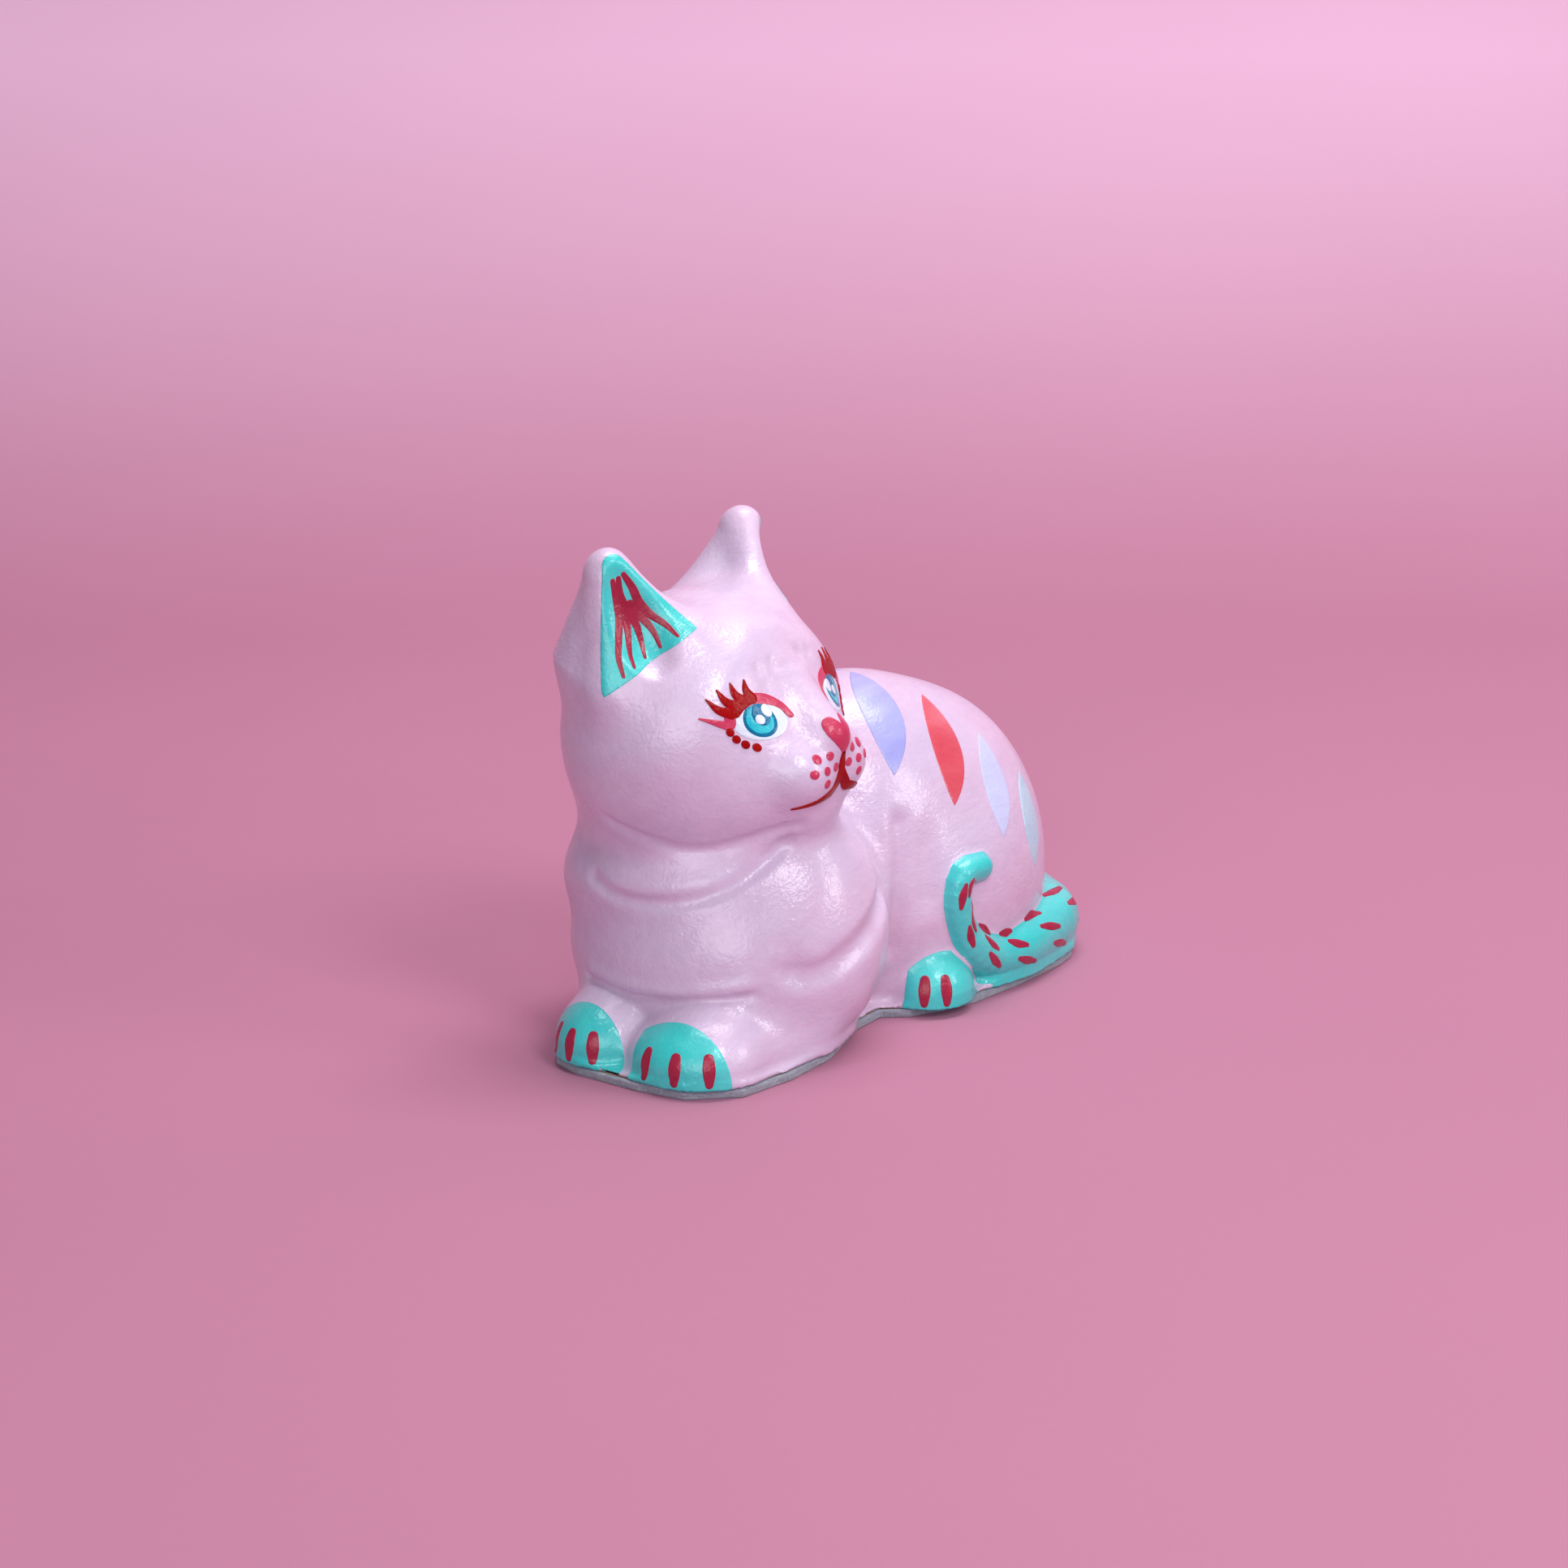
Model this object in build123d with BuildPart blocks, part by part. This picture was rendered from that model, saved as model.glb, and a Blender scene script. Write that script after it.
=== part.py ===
from build123d import *
import os

os.makedirs("parts", exist_ok=True)

# Hollow cast figurine of a resting cat, glued to a hand-cut felt pad.
# Millimetres, +Z up. The cat's body points along -Y, its left side is +X and its
# head is turned to look over its left side. The origin is on the table, at the
# middle of the figurine's bounding box.

PAD_THICKNESS = 2.6
GLUE_THICKNESS = 0.4
GLUE_MARGIN = 1.2                               # glue stops short of the pad's edge
SHELL_FLOOR = PAD_THICKNESS + GLUE_THICKNESS    # underside of the casting
WALL = 4.5                                      # thickness of the cast wall
POUR_HOLE_RADIUS = 12.0                         # hole the slip was poured out of
POUR_HOLE_CENTRE = (-1.0, 30.0)

MIDLINE = -1.0                                  # x of the body's plane of symmetry

# Ellipsoids as (centre, radii), overlapping into one body.
RUMP = ((MIDLINE, 44.5, 30.0), (45.8, 52.4, 61.2))
BACK = ((MIDLINE, 16.0, 38.0), (43.0, 48.0, 62.5))
CHEST = ((MIDLINE, -44.0, 30.0), (48.0, 45.5, 39.5))
NECK_ROLL = ((-7.5, -49.5, 54.0), (37.0, 39.5, 14.5))
NAPE = ((-15.0, -53.0, 50.0), (-14.0, -52.5, 84.0), 28.0, 27.0)

# Forms repeated on both flanks, as (distance from midline, y, z), radii.
FLANKS = [
    ((29.0, -40.5, 38.5), (18.0, 24.0, 32.5)),  # shoulder
    ((23.0, 34.0, 31.0), (23.0, 36.0, 33.5)),   # haunch
    ((37.0, 10.5, 5.0), (13.5, 14.0, 14.5)),    # hind paw
]

# The head, and its forms in its own axes: x across, -y forwards, z up.
HEAD_CENTRE = (-4.0, -51.5, 95.5)
HEAD_TURN = 93.0
HEAD_TILT = -2.0
SKULL_RADII = (45.5, 40.5, 41.5)
FACE = [
    ((0.0, -26.0, -7.0), (24.0, 21.0, 20.5)),   # muzzle
    ((8.5, -40.0, -6.5), (10.5, 9.5, 9.5)),     # left whisker pad
    ((-8.5, -40.0, -6.5), (10.5, 9.5, 9.5)),    # right whisker pad
    ((0.0, -36.5, -18.5), (11.0, 8.5, 8.0)),    # chin
]
NOSE_BRIDGE = ((0.0, -30.0, 15.0), (0.0, -44.5, 4.0), 6.5, 5.5)

# Each ear is a rounded triangular plate, backed by a tapered rod and dished in
# front. Corners are tip, inner front and outer back, for the head's left ear.
EAR_TIP, EAR_INNER, EAR_OUTER = (33.3, 6.8, 55.2), (20.0, -7.0, 33.0), (38.2, 4.6, 22.0)
EAR_CORNER_RADII = (4.7, 5.0, 5.3)
EAR_PLATE_THICKNESS = 8.8
EAR_BACK = ((27.5, 13.0, 27.0), (33.3, 9.0, 51.5), 15.5, 6.5)
EAR_DISH_RADII = (9.0, 19.0, 8.0)
EAR_DISH_STANDOFF = 10.0                        # dish centre in front of the plate

# Forelegs, each a tapered rod from elbow to wrist and the ellipsoid of its paw.
FORELEGS = [
    (((26.5, -52.5, 7.0), (23.0, -81.0, 7.0), 15.8, 15.2), ((19.0, -85.0, 7.0), (20.0, 18.0, 13.0))),
    (((-28.5, -52.5, 7.0), (-14.0, -81.0, 7.0), 15.2, 14.6), ((-11.7, -86.5, 7.0), (15.0, 17.0, 13.0))),
]

# Tail from its root at the rump, along the left flank, to the curled tip.
TAIL = [
    ((19.5, 91.5, 9.5), 12.0),
    ((33.5, 79.0, 11.0), 11.4),
    ((39.0, 63.0, 11.0), 10.2),
    ((41.5, 48.0, 11.0), 9.4),
    ((42.0, 34.0, 12.0), 8.0),
    ((43.4, 23.5, 17.0), 6.0),
    ((43.6, 16.0, 24.5), 4.8),
    ((43.9, 12.6, 34.0), 4.5),
    ((44.2, 14.6, 42.6), 4.3),
    ((45.0, 23.2, 43.4), 4.1),
]

# Pad outline, cut by hand in short straight runs, from the right front paw.
PAD_OUTLINE = [
    (-29.0, -90.0), (-21.0, -100.0), (-10.0, -103.5), (12.0, -103.5), (28.0, -101.0),
    (40.0, -89.0), (42.5, -69.0), (41.0, -47.5), (32.0, -22.0), (31.0, -9.0),
    (38.0, -3.0), (43.0, 8.0), (46.5, 20.0), (48.0, 44.0), (47.5, 68.0), (45.5, 78.0),
    (33.0, 94.0), (19.0, 102.0), (3.0, 98.5), (-18.0, 93.0), (-32.0, 80.0), (-40.0, 58.0),
    (-43.0, 36.0), (-45.5, 14.0), (-40.0, -4.0), (-34.0, -12.0), (-35.0, -22.0),
    (-43.0, -47.5), (-41.0, -70.0),
]

head_axes = Location(HEAD_CENTRE) * Rot(0, 0, HEAD_TURN) * Rot(0, HEAD_TILT, 0)


def ball(radius):
    return Solid.make_sphere(radius, angle1=-90, angle2=90, angle3=360)


def ellipsoid(centre, radii):
    return Pos(*centre) * scale(ball(1.0), by=radii)


def shrunk(centre, radii):
    """The same ellipsoid, one wall thickness smaller all round."""
    return ellipsoid(centre, tuple(radius - WALL for radius in radii))


def tapered_rod(start, end, start_radius, end_radius):
    """Round-ended tapered rod between two points, as overlapping solids."""
    axis = Vector(*end) - Vector(*start)
    base = Plane(origin=Vector(*start), z_dir=axis)
    rod = Solid.make_cone(start_radius, end_radius, axis.length, base)
    return [rod, Pos(*start) * ball(start_radius), Pos(*end) * ball(end_radius)]


def ear(side):
    """One dished ear in the head's axes; side is 1 for left and -1 for right."""
    tip, inner, outer, back_start, back_end = (
        (side * x, y, z) for x, y, z in (EAR_TIP, EAR_INNER, EAR_OUTER, *EAR_BACK[:2]))
    plate = Plane(Face(Wire.make_polygon([tip, inner, outer])))
    if plate.z_dir.Y > 0:
        plate = -plate
    corners = [plate.to_local_coords(Vector(*corner)) for corner in (tip, inner, outer)]
    slab = extrude(make_face(Polyline(*corners, close=True)), amount=EAR_PLATE_THICKNESS / 2, both=True)
    solids = [plate.location * slab]
    edges = list(zip((tip, inner, outer), EAR_CORNER_RADII))
    for (start, start_radius), (end, end_radius) in zip(edges, edges[1:] + edges[:1]):
        solids += tapered_rod(start, end, start_radius, end_radius)[:2]
    solids += tapered_rod(back_start, back_end, *EAR_BACK[2:])
    middle = (corners[0] * 0.42 + corners[1] * 0.29 + corners[2] * 0.29)
    up = corners[0] - (corners[1] + corners[2]) * 0.5
    dish = Plane(origin=middle + Vector(0, 0, EAR_DISH_STANDOFF), x_dir=up.cross(Vector(0, 0, 1)),
                 z_dir=(0, 0, 1))
    hollow = plate.location * dish.location * scale(ball(1.0), by=EAR_DISH_RADII)
    return solids[0].fuse(*solids[1:]) - hollow


torso = [ellipsoid(*RUMP), ellipsoid(*BACK), ellipsoid(*CHEST), ellipsoid(*NECK_ROLL)]
torso += tapered_rod(*NAPE)
flanks = [ellipsoid((MIDLINE + side * out, y, z), radii)
          for (out, y, z), radii in FLANKS for side in (1, -1)]
skull_forms = [ellipsoid((0, 0, 0), SKULL_RADII)] + [ellipsoid(*form) for form in FACE]
skull_forms += tapered_rod(*NOSE_BRIDGE) + [ear(1), ear(-1)]
head = [head_axes * form for form in skull_forms]
legs = []
for leg, paw in FORELEGS:
    legs += tapered_rod(*leg) + [ellipsoid(*paw)]
tail = []
for (start, start_radius), (end, end_radius) in zip(TAIL[:-1], TAIL[1:]):
    tail += tapered_rod(start, end, start_radius, end_radius)

# The wall follows the large forms; legs, ears, muzzle and tail are cast solid.
with BuildPart() as cavity:
    add([shrunk(*RUMP), shrunk(*BACK), shrunk(*CHEST), shrunk(*NECK_ROLL),
         head_axes * shrunk((0, 0, 0), SKULL_RADII)])
    with Locations((0, 0, SHELL_FLOOR + WALL)):
        Box(200, 300, 100, align=(Align.CENTER, Align.CENTER, Align.MAX), mode=Mode.SUBTRACT)

with BuildPart() as cat_shell:
    add(torso + flanks + head + legs + tail)
    with Locations((0, 0, SHELL_FLOOR)):
        Box(200, 300, 100, align=(Align.CENTER, Align.CENTER, Align.MAX), mode=Mode.SUBTRACT)
    add(cavity.part, mode=Mode.SUBTRACT)
    with Locations((*POUR_HOLE_CENTRE, SHELL_FLOOR)):
        Cylinder(POUR_HOLE_RADIUS, 3 * WALL, mode=Mode.SUBTRACT)
cat_shell.part.label = "cat_shell"
export_step(cat_shell.part, "parts/cat_shell.step")

with BuildPart() as pad_adhesive:
    with BuildSketch(Plane.XY.offset(PAD_THICKNESS)):
        with BuildLine():
            Polyline(*PAD_OUTLINE, close=True)
        make_face()
        offset(amount=-GLUE_MARGIN, kind=Kind.INTERSECTION)
    extrude(amount=GLUE_THICKNESS)
pad_adhesive.part.label = "pad_adhesive"
export_step(pad_adhesive.part, "parts/pad_adhesive.step")

with BuildPart() as base_pad:
    with BuildSketch():
        with BuildLine():
            Polyline(*PAD_OUTLINE, close=True)
        make_face()
    extrude(amount=PAD_THICKNESS)
base_pad.part.label = "base_pad"
export_step(base_pad.part, "parts/base_pad.step")
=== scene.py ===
import math

import bpy
import numpy as np
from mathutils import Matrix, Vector


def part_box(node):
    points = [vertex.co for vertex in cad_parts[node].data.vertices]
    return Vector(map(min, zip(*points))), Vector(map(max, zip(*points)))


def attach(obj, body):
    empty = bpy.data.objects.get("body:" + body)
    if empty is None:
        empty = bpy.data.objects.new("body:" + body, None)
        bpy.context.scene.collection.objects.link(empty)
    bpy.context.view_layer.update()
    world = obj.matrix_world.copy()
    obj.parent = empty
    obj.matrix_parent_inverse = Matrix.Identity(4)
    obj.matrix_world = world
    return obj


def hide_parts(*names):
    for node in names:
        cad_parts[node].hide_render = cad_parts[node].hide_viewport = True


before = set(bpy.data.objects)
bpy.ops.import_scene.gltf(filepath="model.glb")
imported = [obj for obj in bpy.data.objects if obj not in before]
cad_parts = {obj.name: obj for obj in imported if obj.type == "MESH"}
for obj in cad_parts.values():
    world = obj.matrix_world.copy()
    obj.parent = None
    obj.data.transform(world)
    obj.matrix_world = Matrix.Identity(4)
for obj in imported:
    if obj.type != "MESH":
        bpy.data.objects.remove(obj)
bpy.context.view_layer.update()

# The painted casting is one implicit surface, in millimetres in the row frame, meshed
# here in place of the plain CAD shell. Every coat of paint is its own thin film laid on
# that surface.

MM = 0.001
shell_low, shell_high = (np.array(corner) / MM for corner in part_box("cat_shell"))
pad_low, pad_high = (np.array(corner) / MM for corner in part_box("base_pad"))
CENTRE = (shell_low + shell_high) / 2 * (1, 1, 0)
SHELL_FLOOR = shell_low[2]
MIDLINE = -1.0
GRID = 1.05
BLOCK = 4


# ---------------------------------------------------------------- distance fields
def turn(yaw=0.0, roll=0.0):
    y, r = math.radians(yaw), math.radians(roll)
    about_z = np.array([[math.cos(y), -math.sin(y), 0], [math.sin(y), math.cos(y), 0], [0, 0, 1]])
    about_y = np.array([[math.cos(r), 0, math.sin(r)], [0, 1, 0], [-math.sin(r), 0, math.cos(r)]])
    return about_z @ about_y


HEAD = np.array([-4.0, -51.5, 95.5])
HEAD_TURN = turn(93, -2)


def from_head(x, y, z):
    return HEAD + HEAD_TURN @ np.array([x, y, z], float)


def in_head(points):
    return (points - HEAD) @ HEAD_TURN


def ellipsoid(points, centre, radii, axes=None):
    q = points - np.array(centre, float)
    if axes is not None:
        q = q @ axes
    radii = np.array(radii, float)
    k0 = np.linalg.norm(q / radii, axis=-1)
    k1 = np.linalg.norm(q / radii**2, axis=-1)
    return k0 * (k0 - 1) / np.maximum(k1, 1e-9)


def rod(points, start, end, start_radius, end_radius):
    start, end = np.array(start, float), np.array(end, float)
    run = end - start
    t = np.clip(((points - start) @ run) / (run @ run), 0, 1)
    gap = np.linalg.norm(points - start - t[..., None] * run, axis=-1)
    return gap - (start_radius + (end_radius - start_radius) * t)


def join(a, b, blend):
    h = np.maximum(blend - np.abs(a - b), 0) / blend
    return np.minimum(a, b) - h * h * blend * 0.25


def cut(a, b, blend):
    return -join(-a, -b, blend)


def triangle(points, a, b, c):
    """Distance to a flat triangle."""
    ba, cb, ac = b - a, c - b, a - c
    pa, pb, pc = points - a, points - b, points - c
    normal = np.cross(ba, ac)
    sides = sum(np.sign(p @ np.cross(e, normal)) for p, e in ((pa, ba), (pb, cb), (pc, ac)))

    def edge(p, e):
        q = p - np.clip((p @ e) / (e @ e), 0, 1)[..., None] * e
        return (q * q).sum(-1)

    rim = np.minimum(np.minimum(edge(pa, ba), edge(pb, cb)), edge(pc, ac))
    return np.sqrt(np.where(sides < 2, rim, (pa @ normal) ** 2 / (normal @ normal)))


def body_field(p):
    d = ellipsoid(p, (-1, 45, 30), (45.5, 52, 60.5))
    d = join(d, ellipsoid(p, (-1, 16, 38), (42, 47, 62)), 16)
    chest = ellipsoid(p, (-1, -44, 30), (48, 45.5, 39.5))
    for side in (-1, 1):
        chest = join(chest, ellipsoid(p, (MIDLINE + 29 * side, -40.5, 38.5), (18, 24, 32.5)), 10)
    chest = join(chest, rod(p, (-15, -53, 50), (-14, -52.5, 84), 27.5, 27.5), 8)
    ruff = ellipsoid(p, (-7.5, -49.5, 54), (37, 39.5, 14.5), turn(0, -6))
    return join(d, join(chest, ruff, 12), 9)


EARS = []
for side in (-1, 1):
    tip, inner = from_head(side * 33.3, 6.8, 53.9), from_head(side * 20, -7, 33)
    outer = from_head(-39.5, 4, 20) if side < 0 else from_head(36, 6, 22)
    facing = np.cross(inner - tip, outer - tip)
    facing /= np.linalg.norm(facing)
    if (HEAD_TURN.T @ facing)[1] > 0:
        facing = -facing
    up = tip - (inner + outer) / 2
    up /= np.linalg.norm(up)
    dish = tip * 0.42 + inner * 0.30 + outer * 0.28 + facing * 11.5 + up * 2
    EARS.append((side, tip, inner, outer, dish, np.stack([np.cross(facing, up), facing, up], 1)))


def head_field(p):
    d = ellipsoid(p, from_head(0, -0.5, 0), (45.5, 40, 41.5), HEAD_TURN)
    brow = HEAD_TURN @ (np.array([0, -1, 0.12]) / math.hypot(1, 0.12))
    d = cut(d, (p - from_head(0, -36.8, 8)) @ brow, 12)
    d = join(d, ellipsoid(p, from_head(0, -26, -7), (24, 21, 20.5), HEAD_TURN), 10)
    for side in (-1, 1):
        whiskers = from_head(side * 8.5, -40, -6.5)
        d = join(d, ellipsoid(p, whiskers, (10.5, 9.5, 9.5), HEAD_TURN), 5)
    d = join(d, ellipsoid(p, from_head(0, -36.5, -18.5), (11, 8.5, 8), HEAD_TURN), 5)
    d = join(d, rod(p, from_head(0, -30, 15), from_head(0, -44.5, 4), 6.5, 5.5), 7)
    for side, tip, inner, outer, dish, dish_axes in EARS:
        ear = triangle(p, tip, inner, outer) - 4.8
        behind = rod(p, from_head(side * 27.5, 13, 27), from_head(side * 33.3, 9, 51), 15.5, 5.6)
        d = join(d, join(ear, behind, 6), 12)
        d = cut(d, -ellipsoid(p, dish, (9.5, 9, 18), dish_axes), 2.5)
    return d


TAIL = [
    ((19.5, 91.5, 9.5), 12.0),
    ((33.5, 79.0, 11.0), 11.4),
    ((39.0, 63.0, 11.0), 10.2),
    ((41.5, 48.0, 11.0), 9.4),
    ((42.0, 34.0, 12.0), 8.0),
    ((43.4, 23.5, 17.0), 6.0),
    ((43.6, 16.0, 24.5), 4.8),
    ((43.9, 12.6, 34.0), 4.5),
    ((44.2, 14.6, 42.6), 4.3),
    ((45.0, 23.2, 43.4), 4.1),
]


def tail_field(p):
    return curve_gap(p, TAIL_CURVE)


FAR = 99.0


def close_to(p, curve, margin=9.0):
    """Which points lie in the curve's box, with a margin."""
    return ((p > curve.min(0) - margin) & (p < curve.max(0) + margin)).all(-1)


def polygon_gap(uv, outline):
    """Signed distance to a closed outline, negative inside."""
    whole = np.full(len(uv), FAR)
    near = close_to(uv, outline)
    uv, best, crossings = uv[near], whole[near], np.zeros(near.sum(), int)
    for a, b in zip(outline, np.roll(outline, -1, 0)):
        run = b - a
        t = np.clip(((uv - a) @ run) / max(run @ run, 1e-9), 0, 1)
        best = np.minimum(best, np.linalg.norm(uv - a - t[:, None] * run, axis=1))
        spans = (a[1] > uv[:, 1]) != (b[1] > uv[:, 1])
        at = a[0] + (uv[:, 1] - a[1]) / (run[1] if run[1] else 1e-9) * run[0]
        crossings += spans & (uv[:, 0] < at)
    whole[near] = np.where(crossings % 2 == 1, -best, best)
    return whole


def pad_outline(node):
    """The node's own outline, in order, from its top face."""
    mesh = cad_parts[node].data
    top = max(v.co.z for v in mesh.vertices)
    points = {(round(v.co.x / MM, 2), round(v.co.y / MM, 2)) for v in mesh.vertices
              if abs(v.co.z - top) < 1e-5}
    points = np.array(sorted(points))
    middle = np.array([0.0, points[:, 1].mean()])
    angle = np.arctan2(points[:, 1] - middle[1], (points[:, 0] - middle[0]) * 2)
    return points[np.argsort(angle)]


PAD_RIM = pad_outline("base_pad")


def plain_field(p):
    """The whole casting without its fine creases. Its foot goes straight down below 7 mm
    and fills out to the pad."""
    height = p[..., 2]
    p = np.concatenate([p[..., :2], np.maximum(p[..., 2:], 7)], -1)
    d = join(body_field(p), head_field(p), 9)
    d = join(d, rod(p, (26.5, -52.5, 7), (23, -81, 7), 15.5, 15.5), 6)
    d = join(d, ellipsoid(p, (19, -85, 7), (20, 18, 13)), 5)
    d = join(d, rod(p, (-28.5, -52.5, 7), (-14, -81, 7), 15, 15), 6)
    d = join(d, ellipsoid(p, (-11.7, -86.5, 7), (15, 17, 13)), 5)
    for side in (-1, 1):
        d = join(d, ellipsoid(p, (MIDLINE + 23 * side, 34, 31), (23, 36, 33.5)), 10)
        d = join(d, ellipsoid(p, (MIDLINE + 37 * side, 10.5, 5), (13.5, 14, 14.5)), 3.5)
    d = join(d, tail_field(p), 1.6)
    low = height < 9
    foot = np.maximum(polygon_gap(p[low, :2], PAD_RIM) + 0.8, height[low] - 3.6)
    d[low] = join(d[low], np.maximum(foot, d[low] - 8), 3)
    return d


# ---------------------------------------------------------------- curves on the surface
def smooth_curve(points, closed=False, steps=5):
    """Catmull-Rom curve through the points; any extra columns, such as widths, follow."""
    pts = np.array(points, float)
    n = len(pts)
    if closed:
        pts = np.vstack([pts[-1], pts, pts[0], pts[1]])
    else:
        pts = np.vstack([2 * pts[0] - pts[1], pts, 2 * pts[-1] - pts[-2]])
    out = []
    for i in range(n if closed else n - 1):
        a, b, c, d = pts[i : i + 4]
        for t in np.arange(steps) / steps:
            out.append(
                0.5 * (2 * b + (c - a) * t + (2 * a - 5 * b + 4 * c - d) * t**2
                       + (3 * b - a - 3 * c + d) * t**3)
            )
    if not closed:
        out.append(pts[-2])
    return np.array(out)


TAIL_CURVE = smooth_curve([(*place, radius) for place, radius in TAIL], steps=3)


def gradient(field, p, reach=0.05):
    g = np.zeros_like(p)
    for way in ((1, -1, -1), (-1, -1, 1), (-1, 1, -1), (1, 1, 1)):
        way = np.array(way, float)
        g += field(p + way * reach)[..., None] * way
    return g / (4 * reach)


def settle(field, p, rounds=3):
    """Moves points onto the surface of the field."""
    for _ in range(rounds):
        g = gradient(field, p)
        p = p - (field(p) / np.maximum((g * g).sum(-1), 0.2))[:, None] * g
    return p


def curve_gap(p, curve):
    """Distance from points to a polyline whose last column is a half width to take off."""
    dims = p.shape[1]
    whole = np.full(len(p), FAR)
    near = close_to(p, curve[:, :dims], 9 + curve[:, dims].max())
    p, best = p[near], whole[near]
    for a, b in zip(curve[:-1], curve[1:]):
        run = b[:dims] - a[:dims]
        t = np.clip(((p - a[:dims]) @ run) / max(run @ run, 1e-9), 0, 1)
        gap = np.linalg.norm(p - a[:dims] - t[:, None] * run, axis=1)
        best = np.minimum(best, gap - (a[dims] + (b[dims] - a[dims]) * t))
    whole[near] = best
    return whole


def mirrored(points):
    return [(2 * MIDLINE - x, y, z) for x, y, z in points]


def ring(centre, radius, start, stop, height, tilt, rise, count=8):
    """Part of a ring round an upright axis, in degrees from -y. It climbs by the tilt from its
    start to its stop, and both ends climb by the rise."""
    points = []
    for t in np.linspace(0, 1, count):
        a = math.radians(start + (stop - start) * t)
        points.append((centre[0] + radius * math.sin(a), centre[1] - radius * math.cos(a),
                       height + tilt * t + rise * (2 * t - 1) ** 2))
    return points


# Creases: points, depth and width. A negative depth is a ridge.
JAW = ring((-4, -51.5), 40, -12, 86, 66, 0, 11)
NECK = ring((-4, -51.5), 37, -25, 87, 45, 15, 12)
CHEST = ring((-1, -44), 44, -30, 52, 21, 3, 3)
CHEST_LIP = ring((-1, -44), 45, -30, 52, 24, 3, 3)
ELBOW = [(37, -70, 38), (43, -63, 30), (48, -45, 36), (38, -15, 50)]
SHOULDER = [(32, -3, 68), (36, -5, 50), (33, -9, 16)]
FLANK = [(36, 4, 64), (40, 3, 45), (40, 2, 26)]
CREASES = [(JAW, 1.6, 2.0), (NECK, 1.7, 1.9), (CHEST, 1.3, 1.5), (CHEST_LIP, -0.9, 2.2)]
for line, depth, width in ((ELBOW, 3.2, 3.4), (SHOULDER, 2.4, 2.8), (FLANK, 1.3, 4.5)):
    CREASES += [(line, depth, width), (mirrored(line), depth, width)]
for across in (-13, -7, 7, 13):
    CREASES.append(([from_head(across, -31, z) for z in (30, 25, 20)], 0.8, 1.5))

CREASE_CURVES = []
for line, depth, width in CREASES:
    curve = settle(plain_field, smooth_curve(line, steps=3))
    fade = np.zeros((len(curve), 1))
    CREASE_CURVES.append((np.hstack([curve, fade]), depth, width))


def cat_field(p):
    d = plain_field(p)
    for curve, depth, width in CREASE_CURVES:
        reach = 3 * width
        near = ((p > curve[:, :3].min(0) - reach) & (p < curve[:, :3].max(0) + reach)).all(-1)
        if near.any():
            ends = np.minimum(np.linalg.norm(p[near] - curve[0, :3], axis=1),
                              np.linalg.norm(p[near] - curve[-1, :3], axis=1))
            fade = np.clip(ends / (2.5 * width), 0, 1) ** 2
            gap = curve_gap(p[near], curve)
            d[near] += depth * fade * np.exp(-((gap / width) ** 2))
    return np.maximum(d, SHELL_FLOOR - p[..., 2])


# ---------------------------------------------------------------- meshing
def sample_grid(field, low, high, step):
    """Field values on a grid, worked out only in blocks that the surface may cross."""
    blocks = np.ceil((high - low) / (step * BLOCK)).astype(int)
    index = np.stack(np.meshgrid(*[np.arange(b) for b in blocks], indexing="ij"), -1)
    middles = low + (index * BLOCK + (BLOCK - 1) / 2) * step
    coarse = field(middles.reshape(-1, 3)).reshape(blocks)
    values = coarse.repeat(BLOCK, 0).repeat(BLOCK, 1).repeat(BLOCK, 2)
    near = np.argwhere(np.abs(coarse) < 1.8 * BLOCK * step)
    offsets = np.stack(np.meshgrid(*[np.arange(BLOCK)] * 3, indexing="ij"), -1).reshape(-1, 3)
    cells = (near[:, None, :] * BLOCK + offsets[None]).reshape(-1, 3)
    for part in np.array_split(cells, max(1, len(cells) // 60000)):
        values[tuple(part.T)] = field(low + part * step)
    return values


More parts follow.
